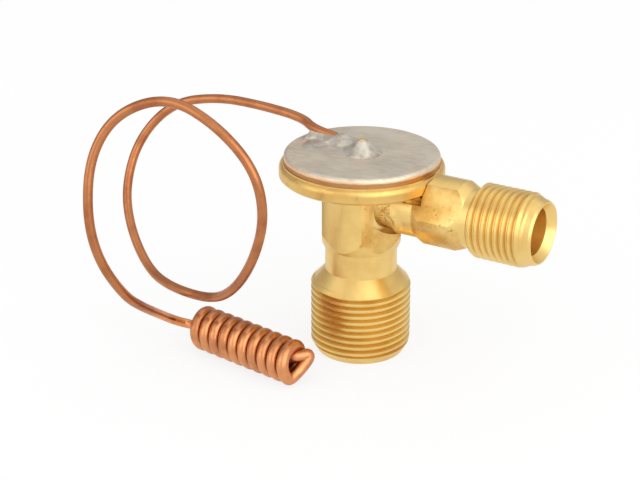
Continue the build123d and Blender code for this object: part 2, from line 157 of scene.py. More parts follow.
# ---- Sizes and colours ----
class BodySettings(PropertyGroup):
    """The threads and edges of the brass body."""

    thread_pitch: FloatProperty(
        name="Thread Pitch",
        description="Distance from one groove of a thread to the next",
        default=1.5 * MM,
        subtype="DISTANCE",
        unit="LENGTH",
    )
    outlet_thread_depth: FloatProperty(
        name="Outlet Thread Depth",
        description="Depth of the outlet thread's groove below its crest",
        default=0.8 * MM,
        subtype="DISTANCE",
        unit="LENGTH",
    )
    inlet_thread_depth: FloatProperty(
        name="Inlet Thread Depth",
        description="Depth of the inlet thread's groove below its crest",
        default=0.6 * MM,
        subtype="DISTANCE",
        unit="LENGTH",
    )
    edge_round: FloatProperty(
        name="Edge Round",
        description="Width of the small bevel on the body's edges",
        default=0.16 * MM,
        subtype="DISTANCE",
        unit="LENGTH",
    )
    bright_colour: FloatVectorProperty(
        name="Bright Brass",
        description="Colour of clean brass",
        default=linear("#EDCB80")[:3],
        subtype="COLOR",
        min=0,
        max=1,
    )
    deep_colour: FloatVectorProperty(
        name="Deep Brass",
        description="Colour of brass where the skin has darkened",
        default=linear("#D2A355")[:3],
        subtype="COLOR",
        min=0,
        max=1,
    )
    # This colour also serves as painted shade where the brass is hemmed in, besides the stains.
    stain_colour: FloatVectorProperty(
        name="Stain",
        description="Colour of the heat and handling stains on the brass",
        default=linear("#8F6030")[:3],
        subtype="COLOR",
        min=0,
        max=1,
    )


class TubeSettings(PropertyGroup):
    """The copper capillary and the coil that it is wound into."""

    tube_diameter: FloatProperty(
        name="Tube Diameter",
        description="Outer diameter of the copper tube",
        default=2.1 * MM,
        subtype="DISTANCE",
        unit="LENGTH",
    )
    coil_strand: FloatProperty(
        name="Coil Strand",
        description="Outer diameter of the wider tube that the coil is wound from",
        default=2.74 * MM,
        subtype="DISTANCE",
        unit="LENGTH",
    )
    coil_radius: FloatProperty(
        name="Coil Radius",
        description="Radius of the coil to the middle of its tube",
        default=3.57 * MM,
        subtype="DISTANCE",
        unit="LENGTH",
    )
    coil_pitch: FloatProperty(
        name="Coil Pitch",
        description="Distance from one turn of the coil to the next",
        default=2.82 * MM,
        subtype="DISTANCE",
        unit="LENGTH",
    )
    coil_turns: FloatProperty(
        name="Coil Turns",
        description="Number of turns in the coil",
        default=9.9,
    )
    turn_points: IntProperty(
        name="Points per Turn",
        description="Control points in one turn of the coil",
        default=12,
    )
    tube_colour: FloatVectorProperty(
        name="Tube Copper",
        description="Colour of the copper along the capillary",
        default=linear("#BC7A50")[:3],
        subtype="COLOR",
        min=0,
        max=1,
    )
    coil_colour: FloatVectorProperty(
        name="Coil Copper",
        description="Colour of the copper in the coil",
        default=linear("#DE9866")[:3],
        subtype="COLOR",
        min=0,
        max=1,
    )


class HeadSettings(PropertyGroup):
    """The solder on the cap."""

    peak_height: FloatProperty(
        name="Solder Peak",
        description="Height of the solder round the charge plug",
        default=2.65 * MM,
        subtype="DISTANCE",
        unit="LENGTH",
    )
    peak_foot: FloatProperty(
        name="Solder Foot",
        description="Radius of the peak's foot",
        default=4.4 * MM,
        subtype="DISTANCE",
        unit="LENGTH",
    )
    tin_colour: FloatVectorProperty(
        name="Tin",
        description="Colour of the tinned cap",
        default=linear("#E2D5C0")[:3],
        subtype="COLOR",
        min=0,
        max=1,
    )


class StageSettings(PropertyGroup):
    """Where the camera stands and how bright the light is."""

    camera_place: FloatVectorProperty(
        name="Camera Place",
        description="Where the camera stands, in the valve's own frame",
        default=(0.17722, -0.31091, 0.18093),
        subtype="TRANSLATION",
        unit="LENGTH",
    )
    camera_azimuth: FloatProperty(
        name="Camera Azimuth",
        description="Angle of the camera round the valve, from the front towards +X",
        default=radians(31.13),
        subtype="ANGLE",
    )
    camera_elevation: FloatProperty(
        name="Camera Elevation",
        description="Angle of the camera above the floor",
        default=radians(23.48),
        subtype="ANGLE",
    )
    focal_length: FloatProperty(
        name="Focal Length",
        description="Focal length on a 36 mm wide sensor",
        default=100.1,
        subtype="DISTANCE_CAMERA",
        unit="CAMERA",
    )
    key_power: FloatProperty(
        name="Key Power",
        description="Power of the softbox on the right",
        default=4.0,
        subtype="POWER",
        unit="POWER",
    )


# ---- Metals ----
def new_material(name):
    """An empty node material and its tree."""
    material = bpy.data.materials.new(name)
    material.use_nodes = True
    material.node_tree.nodes.clear()
    return material, material.node_tree


def speckle(tree, place, size, low, high, stretch=(1, 1, 1)):
    """Patches of about the given size, from 0 to 1, hard or soft as low and high lie close or apart."""
    turned_place = add_node(tree, "ShaderNodeMapping", {"Vector": place, "Scale": stretch})
    texture = {"Vector": turned_place, "Scale": 1 / size, "Detail": 4.0, "Roughness": 0.6}
    return add_node(
        tree,
        "ShaderNodeMapRange",
        {"Value": add_node(tree, "ShaderNodeTexNoise", texture), "From Min": low, "From Max": high},
        interpolation_type="SMOOTHSTEP",
    )


def grime(tree, reach, share):
    """Painted shade in tight spots: darkening up to the share where the metal is hemmed in within the reach,
    none in the open.
    """
    openness = add_node(tree, "ShaderNodeAmbientOcclusion", {"Distance": reach}, "AO", samples=8)
    return add_node(tree, "ShaderNodeMapRange", {"Value": openness, "To Min": share, "To Max": 0.0})


def layered(tree, base, *layers):
    """The base colour under layers, each laid where its pattern says, up to its share, in its own colour."""
    colour = base
    for pattern, share, shade in layers:
        factors = {"Value": pattern, "Value_001": share}
        amount = add_node(tree, "ShaderNodeMath", factors, operation="MULTIPLY")
        sides = {"Factor_Float": amount, "A_Color": colour, "B_Color": shade}
        colour = add_node(tree, "ShaderNodeMix", sides, "Result_Color", data_type="RGBA")
    return colour


def forging_scar(tree, place):
    """The rumpled spot where the arm meets the hexagon, 4 mm across, as the trimming die left it."""
    away = add_node(
        tree,
        "ShaderNodeVectorMath",
        {"Vector": place, "Vector_001": SCAR_PLACE},
        "Value",
        operation="DISTANCE",
    )
    within = add_node(
        tree,
        "ShaderNodeMapRange",
        {"Value": away, "From Min": 4.0 * MM, "From Max": 1.8 * MM},
        interpolation_type="SMOOTHSTEP",
    )
    folds = add_node(
        tree,
        "ShaderNodeTexNoise",
        {"Vector": place, "Scale": 1 / (1.9 * MM), "Detail": 2.0, "Roughness": 0.55, "Distortion": 1.2},
    )
    height = add_node(tree, "ShaderNodeMath", {"Value": folds, "Value_001": within}, operation="MULTIPLY")
    return add_node(tree, "ShaderNodeBump", {"Height": height, "Distance": 0.75 * MM, "Strength": 1.0})


def close_metal(tree, colour, wear, roughness, relief, depth, under=None):
    """Ends a material in the metal's shader.

    Its roughness goes from the first limit to the second with the wear, and its relief has the given depth.
    """
    shape = {"Height": relief, "Distance": depth, "Strength": 1.0} | ({"Normal": under} if under else {})
    normal = add_node(tree, "ShaderNodeBump", shape)
    sheen = {"Value": wear, "To Min": roughness[0], "To Max": roughness[1]}
    shader = add_node(
        tree,
        "ShaderNodeBsdfPrincipled",
        {
            "Base Color": colour,
            "Metallic": 1.0,
            "Roughness": add_node(tree, "ShaderNodeMapRange", sheen),
            "Normal": normal,
        },
    )
    add_node(tree, "ShaderNodeOutputMaterial", {"Surface": shader})


def lathe_rings(tree, place, spacing):
    """Fine rings as a lathe leaves them, about the barrel's axis or, past the barrel, about the arm's.

    Real ones lie under 0.1 mm apart, so the spacing is coarser, as they need it to show.
    """
    x, y, z = add_node(tree, "ShaderNodeSeparateXYZ", {"Vector": place}).node.outputs
    height_on_arm = add_node(
        tree, "ShaderNodeMath", {"Value": z, "Value_001": ARM_HEIGHT}, operation="SUBTRACT"
    )
    on_arm = add_node(tree, "ShaderNodeMath", {"Value": x, "Value_001": ARM_START}, operation="GREATER_THAN")
    vectors = []
    for first, second in ((x, y), (y, height_on_arm)):
        flat = add_node(tree, "ShaderNodeCombineXYZ", {"X": first, "Y": second})
        vectors.append(add_node(tree, "ShaderNodeVectorMath", {"Vector": flat}, "Value", operation="LENGTH"))
    radius = add_node(
        tree,
        "ShaderNodeMix",
        {"Factor_Float": on_arm, "A_Float": vectors[0], "B_Float": vectors[1]},
        "Result_Float",
    )
    along = add_node(
        tree, "ShaderNodeMix", {"Factor_Float": on_arm, "A_Float": z, "B_Float": x}, "Result_Float"
    )
    ring_place = add_node(tree, "ShaderNodeCombineXYZ", {"X": radius, "Y": along, "Z": on_arm})
    texture = {"Vector": ring_place, "Scale": 1 / spacing, "Detail": 2.0, "Roughness": 0.6}
    return add_node(tree, "ShaderNodeTexNoise", texture)


def brass_colours(body):
    """The brass where it is clean, where its skin has darkened, and the brown of its stains and of the
    painted shade in its hollows.
    """
    return (*body.bright_colour, 1), (*body.deep_colour, 1), (*body.stain_colour, 1)


def forged_brass(body):
    """Hot-forged brass, pickled: a softly pitted golden skin with browner patches, a dull sheen and painted
    shade in its hollows.

    It is browner high up, where the head's flange has been heated.
    """
    material, tree = new_material("forged_brass")
    place = add_node(tree, "ShaderNodeTexCoord", None, "Object")
    bright, deep, stain = brass_colours(body)
    patches = speckle(tree, place, 9 * MM, 0.36, 0.66)
    brown = speckle(tree, place, 4 * MM, 0.58, 0.78)
    grain = speckle(tree, place, 0.5 * MM, 0.25, 0.8)
    dimples = speckle(tree, place, 1.8 * MM, 0.2, 0.8)
    pits = add_node(
        tree,
        "ShaderNodeMath",
        {
            "Value": speckle(tree, place, 0.7 * MM, 0.58, 0.68),
            "Value_001": speckle(tree, place, 7 * MM, 0.42, 0.62),
        },
        operation="MULTIPLY",
    )
    heated = add_node(
        tree,
        "ShaderNodeMapRange",
        {
            "Value": add_node(tree, "ShaderNodeSeparateXYZ", {"Vector": place}, "Z"),
            "From Min": 41.5 * MM,
            "From Max": 44.5 * MM,
        },
        interpolation_type="SMOOTHSTEP",
    )
    colour = layered(
        tree,
        bright,
        (patches, 1.0, deep),
        (brown, 0.4, stain),
        (pits, 0.7, stain),
        (heated, 0.42, stain),
        # Painted shade: brown laid where the metal is hemmed in.
        (grime(tree, 1.4 * MM, 0.5), 1.0, stain),
    )
    relief = add_node(
        tree, "ShaderNodeMix", {"Factor_Float": 0.3, "A_Float": dimples, "B_Float": grain}, "Result_Float"
    )
    scar = forging_scar(tree, place)
    close_metal(tree, colour, patches, (0.33, 0.47), relief, 0.035 * MM, scar)
    return material


def turned_brass(body, name="turned_brass", stained=0.12, dulled=0.0):
    """Brass turned on a lathe: bright, with fine rings from the tool and painted shade low in the grooves."""
    material, tree = new_material(name)
    place = add_node(tree, "ShaderNodeTexCoord", None, "Object")
    bright, deep, stain = brass_colours(body)
    patches = speckle(tree, place, 7 * MM, 0.4, 0.7)
    brown = speckle(tree, place, 2.5 * MM, 0.7 - 0.4 * stained, 0.85)
    rings = lathe_rings(tree, place, 0.16 * MM)
    age = add_node(tree, "ShaderNodeMapRange", {"Value": patches, "To Min": dulled, "To Max": dulled + 0.4})
    # Painted shade low in the grooves, in the brown of the stains.
    nooks = grime(tree, 0.9 * MM, 0.16)
    colour = layered(tree, bright, (age, 1.0, deep), (brown, stained, stain), (nooks, 1.0, stain))
    close_metal(tree, colour, rings, (0.27, 0.42), rings, 0.012 * MM, forging_scar(tree, place))
    return material


def drawn_copper(tube):
    """Drawn copper tube, a little tarnished: warm brown, lighter and more orange low down where it is coiled,
    with painted shade in its hollows.

    The draw marks are 0.3 mm patches, coarser than the die leaves them, so that they show.
    """
    material, tree = new_material("drawn_copper")
    place = add_node(tree, "ShaderNodeTexCoord", None, "Object")
    on_coil = add_node(
        tree,
        "ShaderNodeMapRange",
        {
            "Value": add_node(tree, "ShaderNodeSeparateXYZ", {"Vector": place}, "Z"),
            "From Min": 13 * MM,
            "From Max": 7 * MM,
        },
        interpolation_type="SMOOTHSTEP",
    )
    tarnish = speckle(tree, place, 6 * MM, 0.4, 0.72)
    spots = speckle(tree, place, 1.2 * MM, 0.55, 0.8)
    scratches = speckle(tree, place, 0.3 * MM, 0.2, 0.9)
    colour = layered(
        tree,
        (*tube.tube_colour, 1),
        (on_coil, 1.0, (*tube.coil_colour, 1)),
        (tarnish, 0.5, linear("#8E4E30")),
        (spots, 0.35, linear("#6E3A24")),
        # Painted shade, darkest between the coil's turns and wherever the tube is hemmed in.
        (grime(tree, 1.6 * MM, 0.6), 1.0, linear("#6A3218")),
    )
    close_metal(tree, colour, tarnish, (0.3, 0.42), scratches, 0.01 * MM)
    return material


def tinned_steel(head):
    """Steel cap dipped in tin: a soft grey with wiped swirls, worn to copper plate round its side, with a
    painted highlight along its top edge and another at its foot.
    """
    material, tree = new_material("tinned_steel")
    place = add_node(tree, "ShaderNodeTexCoord", None, "Object")
    clouds = speckle(tree, place, 8 * MM, 0.32, 0.7)
    wipes = speckle(tree, place, 0.9 * MM, 0.3, 0.75, stretch=(0.25, 1, 1))
    specks = speckle(tree, place, 0.8 * MM, 0.62, 0.76)
    wander = speckle(tree, place, 3 * MM, 0.2, 0.8)
    height = add_node(
        tree,
        "ShaderNodeMath",
        {
            "Value": wander,
            "Value_001": 0.2 * MM,
            "Value_002": add_node(tree, "ShaderNodeSeparateXYZ", {"Vector": place}, "Z"),
        },
        operation="MULTIPLY_ADD",
    )
    # The cream band near the top edge and the golden band at the side's foot are painted highlights; the
    # brown band between them is the copper plate where the tin is worn.
    side_bands = []
    for start, end, shade in ((0.15, 0.55, "#E9C39A"), (0.75, 1.0, "#B98A5C"), (1.7, 2.0, "#D9AE6C")):
        reached = add_node(
            tree,
            "ShaderNodeMapRange",
            {"Value": height, "From Min": CAP_TOP - start * MM, "From Max": CAP_TOP - end * MM},
            interpolation_type="SMOOTHSTEP",
        )
        side_bands.append((reached, 1.0, linear(shade)))
    colour = layered(
        tree,
        (*head.tin_colour, 1),
        (clouds, 1.0, linear("#C9BCA8")),
        (wipes, 0.45, linear("#FBF3E6")),
        (specks, 0.4, linear("#978A78")),
        *side_bands,
    )
    relief = add_node(
        tree, "ShaderNodeMix", {"Factor_Float": 0.35, "A_Float": clouds, "B_Float": wipes}, "Result_Float"
    )
    close_metal(tree, colour, wipes, (0.5, 0.36), relief, 0.05 * MM)
    return material


def soft_solder():
    """Tin-lead solder run with an iron: bright grey, softly rippled, with duller flux-stained patches."""
    material, tree = new_material("soft_solder")
    place = add_node(tree, "ShaderNodeTexCoord", None, "Object")
    patches = speckle(tree, place, 2.5 * MM, 0.35, 0.7)
    ripples = speckle(tree, place, 1.1 * MM, 0.2, 0.8)
    colour = layered(tree, linear("#E0D8CA"), (patches, 1.0, linear("#B1A696")))
    close_metal(tree, colour, patches, (0.28, 0.44), ripples, 0.014 * MM)
    return material


def spring_wire():
    """Hard-drawn spring wire: dark grey with draw lines, drawn 0.3 mm apart, coarser than they are."""
    material, tree = new_material("spring_wire")
    place = add_node(tree, "ShaderNodeTexCoord", None, "Object")
    lines = speckle(tree, place, 0.3 * MM, 0.3, 0.7, stretch=(1, 1, 4))
    colour = layered(tree, linear("#8B8C8E"), (lines, 1.0, linear("#5F6063")))
    close_metal(tree, colour, lines, (0.3, 0.42), lines, 0.006 * MM)
    return material


def ground_stainless():
    """Stainless steel, centreless ground: a clean cool grey with an even grain, coarser than the grit's."""
    material, tree = new_material("ground_stainless")
    place = add_node(tree, "ShaderNodeTexCoord", None, "Object")
    grain = speckle(tree, place, 0.2 * MM, 0.3, 0.7, stretch=(1, 1, 5))
    clouds = speckle(tree, place, 4 * MM, 0.3, 0.7)
    colour = layered(tree, linear("#C4C5C6"), (clouds, 1.0, linear("#A9ABAD")))
    close_metal(tree, colour, grain, (0.22, 0.34), grain, 0.004 * MM)
    return material


def soft_copper():
    """Annealed sheet copper, as a gasket is stamped from: matt orange with darker rubbed patches."""
    material, tree = new_material("soft_copper")
    place = add_node(tree, "ShaderNodeTexCoord", None, "Object")
    patches = speckle(tree, place, 2 * MM, 0.35, 0.7)
    colour = layered(tree, linear("#C8825A"), (patches, 1.0, linear("#935234")))
    close_metal(tree, colour, patches, (0.4, 0.5), patches, 0.01 * MM)
    return material


def woven_screen():
    """Woven bronze wire: bright wires 0.5 mm apart over holes painted dark as shade, drawn coarser than the
    real mesh.
    """
    material, tree = new_material("woven_screen")
    place = add_node(tree, "ShaderNodeTexCoord", None, "Object")
    # A wave texture repeats once in 0.314 units at scale 1.
    waves = {"Vector": place, "Scale": 0.314 / (0.5 * MM)}
    crossed = 0.0
    for direction in ("X", "Y", "Z"):
        wires = add_node(tree, "ShaderNodeTexWave", waves, "Fac", bands_direction=direction)
        pair = {"Value": crossed, "Value_001": wires}
        crossed = add_node(tree, "ShaderNodeMath", pair, operation="MAXIMUM")
    lit = add_node(
        tree,
        "ShaderNodeMapRange",
        {"Value": crossed, "From Min": 0.6, "From Max": 0.9},
        interpolation_type="SMOOTHSTEP",
    )
    # The dark base between the wires is painted shade, standing for the dark inside seen through the holes.
    colour = layered(tree, linear("#2A1F12"), (lit, 1.0, linear("#C79A55")))
    close_metal(tree, colour, lit, (0.6, 0.3), crossed, 0.05 * MM)
    return material


# ---- Valve body ----
# The corners of a groove's section, as shares of the thread's depth outwards and of its pitch along the axis.
GROOVE_PROFILE = ((-1.0, 0.08), (-1.0, -0.08), (0.2, -0.4), (0.2, 0.4))

# Each groove: its name, crest radius, setting of its depth, turns, and where it starts and how it is turned.
GROOVES = (
    ("outlet_groove", 11.0 * MM, "outlet_thread_depth", 12.2, (0, 0, -0.655 * MM), (0, 0, 0)),
    ("inlet_groove", 8.0 * MM, "inlet_thread_depth", 9.4, (27.86 * MM, 0, ARM_HEIGHT), (0, pi / 2, 0)),
)
POINTS_PER_TURN = 72
EDGE_ANGLE = radians(28)
FEWEST_FACES = 5000


def groove_tree():
    """Geometry nodes that make one helical thread groove about Z, to be cut out of a body."""
    tree = bpy.data.node_groups.new("thread_groove", "GeometryNodeTree")
    face = tree.interface
    for name, kind in (
        ("Crest Radius", "NodeSocketFloat"),
        ("Pitch", "NodeSocketFloat"),
        ("Depth", "NodeSocketFloat"),
        ("Turns", "NodeSocketFloat"),
        ("Place", "NodeSocketVector"),
        ("Turn", "NodeSocketVector"),
        ("Material", "NodeSocketMaterial"),
    ):
        face.new_socket(name=name, in_out="INPUT", socket_type=kind)
    result = face.new_socket(name="Geometry", in_out="OUTPUT", socket_type="NodeSocketGeometry")
    given = tree.nodes.new("NodeGroupInput").outputs
    radius, pitch, depth = given["Crest Radius"], given["Pitch"], given["Depth"]
    turns = given["Turns"]
    rise = add_node(tree, "ShaderNodeMath", {"Value": pitch, "Value_001": turns}, operation="MULTIPLY")
    line = add_node(
        tree,
        "GeometryNodeCurveSpiral",
        {
            "Resolution": POINTS_PER_TURN,
            "Rotations": turns,
            "Start Radius": radius,
            "End Radius": radius,
            "Height": rise,
            "Reverse": True,
        },
    )
    upright = add_node(tree, "GeometryNodeSetCurveNormal", {"Curve": line}, mode="Z_UP")
    corners = {}
    for number, shares in enumerate(GROOVE_PROFILE, start=1):
        sides = [
            add_node(tree, "ShaderNodeMath", {"Value": size, "Value_001": share}, operation="MULTIPLY")
            for size, share in zip((depth, pitch), shares)
        ]
        corner = {"X": sides[0], "Y": sides[1]}
        corners[f"Point {number}"] = add_node(tree, "ShaderNodeCombineXYZ", corner)
    profile = add_node(tree, "GeometryNodeCurvePrimitiveQuadrilateral", corners, mode="POINTS")
    swept = add_node(
        tree, "GeometryNodeCurveToMesh", {"Curve": upright, "Profile Curve": profile, "Fill Caps": True}
    )
    placed = add_node(
        tree,
        "GeometryNodeTransform",
        {"Geometry": swept, "Translation": given["Place"], "Rotation": given["Turn"]},
    )
    real = add_node(tree, "GeometryNodeRealizeInstances", {"Geometry": placed})
    finished = add_node(tree, "GeometryNodeSetMaterial", {"Geometry": real, "Material": given["Material"]})
    add_node(tree, "NodeGroupOutput", {result.identifier: finished})
    return tree


def thread_groove(name, tree, sizes):
    """One groove as a plain mesh, made by the tree from its named sizes."""
    maker = link_object(name, bpy.data.meshes.new(name))
    modifier = maker.modifiers.new("groove", "NODES")
    modifier.node_group = tree
    sockets = {item.name: item.identifier for item in tree.interface.items_tree if item.in_out == "INPUT"}
    for size, value in sizes.items():
        modifier[sockets[size]] = value
    mesh = evaluated_mesh(maker)
    maker.modifiers.clear()
    maker.data = mesh
    return maker


def on_forging(centre, normal):
    """Whether a face lies on the forged skin: the hexagon's sides, or the arm's block."""
    upright = abs(normal.z) < 0.6 and centre.z > HEX_SIDE_BOTTOM
    on_hexagon = upright and HEX_INSIDE < hypot(centre.x, centre.y) < HEX_OUTSIDE
    from_arm = hypot(centre.y, centre.z - ARM_HEIGHT)
    on_block = BLOCK_START < centre.x < BLOCK_END and from_arm > BLOCK_INSIDE
    return on_hexagon or (on_block and centre.z < BODY_TOP - 0.01 * MM)


def turn_normals(mesh):
    """Turns each corner's normal with its place round the axis, so that turned faces shade truly round.

    The forged faces, those within 1 mm of the axis and those of a bore keep the normals they have.
    """
    near_axis, faces_axis = 1 * MM, -0.9
    normals = [Vector()] * len(mesh.loops)
    for face in mesh.polygons:
        if face.material_index:
            continue
        on_arm = face.center.x > ARM_START
        axis = Vector((1, 0, 0)) if on_arm else Vector((0, 0, 1))
        centre = Vector((0, 0, ARM_HEIGHT)) if on_arm else Vector()
        outward = face.center - centre
        outward -= axis * outward.dot(axis)
        if outward.length < near_axis:
            continue
        outward.normalize()
        shares = face.normal.dot(outward), face.normal.dot(axis.cross(outward)), face.normal.dot(axis)
        if shares[0] < faces_axis:
            continue
        for corner in face.loop_indices:
            outward = mesh.vertices[mesh.loops[corner].vertex_index].co - centre
            outward = (outward - axis * outward.dot(axis)).normalized()
            normals[corner] = outward * shares[0] + axis.cross(outward) * shares[1] + axis * shares[2]
    mesh.normals_split_custom_set(normals)


class VALVE_OT_body(Operator):
    """Cut the two threads into the brass body and soften its edges"""

    bl_idname = "valve.body"
    bl_label = "Threaded Body"

    def execute(self, context):
        body, _, _ = settings_of(context)
        turned = turned_brass(body)
        tree = groove_tree()
        grooves = []
        for name, radius, depth, turns, place, turn in GROOVES:
            sizes = {
                "Crest Radius": radius,
                "Pitch": body.thread_pitch,
                "Depth": getattr(body, depth),
                "Turns": turns,
                "Place": place,
                "Turn": turn,
                "Material": turned,
            }
            grooves.append(thread_groove(name, tree, sizes))
        piece = link_object("threaded_body", merged_copy("valve_body"))
        soften = piece.modifiers.new("edges", "BEVEL")
        soften.width = body.edge_round
        soften.segments = 2
        soften.limit_method = "ANGLE"
        soften.angle_limit = EDGE_ANGLE
        for groove in grooves:
            cut = piece.modifiers.new("cut", "BOOLEAN")
            cut.operation = "DIFFERENCE"
            cut.solver = "EXACT"
            cut.object = groove
        mesh = evaluated_mesh(piece)
        piece.modifiers.clear()
        piece.data = mesh
        for groove in grooves:
            bpy.data.objects.remove(groove)
        if len(mesh.polygons) < FEWEST_FACES:
            raise RuntimeError("the threads were not cut")
        mesh.materials.clear()
        mesh.materials.append(turned)
        mesh.materials.append(forged_brass(body))
        for face in mesh.polygons:
            face.material_index = 1 if on_forging(face.center, face.normal) else 0
        smooth(mesh, radians(30))
        turn_normals(mesh)
        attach(piece, "valve")
        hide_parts("valve_body")
        return {"FINISHED"}


# ---- Capillary and coil ----
# The route from under the cap's solder round both loops and down to the coil, in millimetres.
ROUTE = [
    (-4.0, 2.8, 45.9),
    (-7.4, 3.2, 46.95),
    (-14.5, 4.0, 47.35),
    (-19.0, 6.5, 48.5),
    (-30.5, 7.5, 49.0),
    (-42.0, 7.2, 49.0),
    (-53.2, 5.0, 46.4),
    (-59.4, -0.3, 38.2),
    (-59.8, -5.8, 28.0),
    (-54.5, -11.5, 20.4),
    (-45.2, -17.4, 14.4),
    (-35.6, -21.6, 13.9),
    (-23.5, -23.6, 14.8),
    (-15.1, -27.1, 20.8),
    (-8.7, -29.4, 30.2),
    (-4.6, -31.5, 41.4),
    (-6.2, -32.6, 51.7),
    (-14.8, -33.0, 59.5),
    (-26.1, -33.4, 63.8),
    (-36.4, -37.2, 59.9),
    (-40.5, -41.8, 51.4),
    (-40.1, -44.7, 39.0),
    (-38.6, -43.5, 28.3),
    (-36.2, -38.2, 18.4),
    (-36.6, -31.4, 13.0),
    (-37.0, -25.6, 9.0),
    (-36.9, -21.9, 6.4),
    (-35.3, -19.9, 5.0),
]

# The coil's axis starts above its origin on the floor and runs level along its heading. The core and the
# fold are in millimetres along the axis, across it and up from it. The strand widens past two core points.
COIL_ORIGIN = Vector((-29.5, -19.25, 0)) * MM
COIL_HEADING = radians(-9.0)
COIL_FIRST_ANGLE = radians(-108)
CORE_POINTS = [(-4.3, -0.02, -0.6), (-1.9, 0, -0.4), (6, 0.08, 0.1), (21, 0.2, 0.7), (26.6, 0.3, 1.0)]
THIN_CORE_POINTS = 2
FOLD_TIP = (28.6, 4.6, 1.2)
FOLD_TAIL = 2.2
FOLD_LEAD = 0.25


def in_coil(tube, along, across, up):
    """A point beside the coil's axis, in millimetres along it, across it towards the back, and up."""
    forward = Vector((cos(COIL_HEADING), sin(COIL_HEADING), 0))
    backward = Vector((-sin(COIL_HEADING), cos(COIL_HEADING), 0))
    axis = COIL_ORIGIN + Vector((0, 0, tube.coil_radius + tube.coil_strand / 2))
    return axis + (forward * along + backward * across + Vector((0, 0, up))) * MM


def tube_points(tube):
    """The tube's points from the cap to its free end: the route, the core, the fold and the turns.

    The spline cuts inside the turns' corners, so they reach out until it runs at the coil's radius.
    """
    points = [Vector(point) * MM for point in ROUTE]
    points += [in_coil(tube, *point) for point in CORE_POINTS]
    points.append(in_coil(tube, *FOLD_TIP))
    radius, pitch = tube.coil_radius / MM, tube.coil_pitch / MM
    last = COIL_FIRST_ANGLE + 2 * pi * tube.coil_turns
    across, up = radius * cos(last) - FOLD_TAIL * sin(last), radius * sin(last) + FOLD_TAIL * cos(last)
    points.append(in_coil(tube, pitch * last / (2 * pi) + FOLD_LEAD, across, max(up, -radius)))
    step = 2 * pi / tube.turn_points
    reach = radius * 8 / (6 + 2 * cos(step))
    for number in range(int(tube.coil_turns * tube.turn_points) + 1):
        angle = last - step * number
        points.append(in_coil(tube, pitch * angle / (2 * pi), reach * cos(angle), reach * sin(angle)))
    return points


def spline_length(curve_object):
    """The length of the curve's own line."""
    depsgraph = bpy.context.evaluated_depsgraph_get()
    line = bpy.data.meshes.new_from_object(curve_object.evaluated_get(depsgraph))
    places = [vertex.co.copy() for vertex in line.vertices]
    bpy.data.meshes.remove(line)
    return sum((after - before).length for before, after in zip(places, places[1:]))


class VALVE_OT_capillary(Operator):
    """Lay the copper tube from the cap to the end of its coil"""

    bl_idname = "valve.capillary"
    bl_label = "Capillary and Coil"

    def execute(self, context):
        _, tube, _ = settings_of(context)
        points = tube_points(tube)
        curve = bpy.data.curves.new("capillary", "CURVE")
        curve.dimensions = "3D"
        spline = curve.splines.new("NURBS")
        spline.points.add(len(points) - 1)
        for place, point in zip(spline.points, points):
            place.co = (*point, 1)
            place.radius = 1.0
        for place in spline.points[len(ROUTE) + THIN_CORE_POINTS :]:
            place.radius = tube.coil_strand / tube.tube_diameter
        spline.order_u = 3
        spline.use_endpoint_u = True
        spline.resolution_u = 10
        piece = link_object("capillary", curve)
        length = spline_length(piece)
        curve.bevel_depth = tube.tube_diameter / 2
        curve.bevel_resolution = 7
        curve.use_fill_caps = True
        curve.materials.append(drawn_copper(tube))
        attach(piece, "valve")
        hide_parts("capillary_tube", "sensing_coil")
        return {"FINISHED"}


# ---- Solder on the cap ----
# Places on the cap: the tube's port, the way that the tube leaves it, and the middle of the thin web.
PORT = Vector((-2.4, 2.6)) * MM
TUBE_AWAY = (Vector((-14.5, 4.0)) * MM - PORT).normalized()
WEB_X, WEB_Y = -10.9 * MM, -0.6 * MM

# Heights of the solder's forms, how far along the tube the bed ends and the lump stands, the radius of the
# peak's flat top, and the radius at which all of the solder has ended.
BED_HEIGHT = 1.35 * MM
BED_LENGTH = 12.2 * MM
LUMP_HEIGHT = 1.75 * MM
LUMP_ALONG = 4.0 * MM
WEB_HEIGHT = 0.42 * MM
SKIRT_HEIGHT = 0.22 * MM
PEAK_TOP_RADIUS = 1.1 * MM
SOLDER_REACH = 15.9 * MM


def swell(distance, width):
    """1 at no distance, falling smoothly to nothing well past the width."""
    return exp(-((distance / width) ** 2))


def solder_height(place, head):
    """How high the solder stands above the cap at a place.

    It is a peak round the charge plug, a bed along both sides of the tube, a lump that covers the tube's
    end, and a thin web that runs out towards the cap's edge.
    """
    spread = 1 + 0.12 * noise.noise(Vector((place.x, place.y, 3)) / (4 * MM))
    rise = max(0.0, 1 - place.length * spread / head.peak_foot)
    peak = head.peak_height * min(1.0, (rise / (1 - PEAK_TOP_RADIUS / head.peak_foot)) ** 1.45)
    along = (place - PORT).dot(TUBE_AWAY)
    aside = (place - PORT).cross(TUBE_AWAY) * spread
    past_end = max(0.0, along - BED_LENGTH, -along)
    # The bed has a flat top, and is wider on the side where aside is negative.
    bed_width = (2.1 if aside < 0 else 1.5) * MM
    bed = BED_HEIGHT * min(1.0, 1.5 * swell(aside, bed_width)) * swell(past_end, 1.1 * MM)
    lump = LUMP_HEIGHT * swell(aside, 1.7 * MM) * swell(along - LUMP_ALONG, 2.7 * MM)
    web = WEB_HEIGHT * swell(place.x - WEB_X, 2.3 * MM) * swell(place.y - WEB_Y, 4.2 * MM)
    skirt = SKIRT_HEIGHT * swell(place.length, 5.5 * MM)
    # The forms flow into each other where they meet, and the skirt thins out round them all.
    joined = (peak**2.5 + bed**2.5 + lump**2.5 + web**2.5) ** 0.4 + skirt
    ripple = noise.noise(Vector((place.x, place.y, 0)) / (1.9 * MM))
    joined += 0.05 * MM * ripple * min(1.0, joined / (0.7 * MM)) - 0.09 * MM
    to_edge = (SOLDER_REACH - place.length) / (0.9 * MM)
    return joined * min(1.0, max(0.0, to_edge))


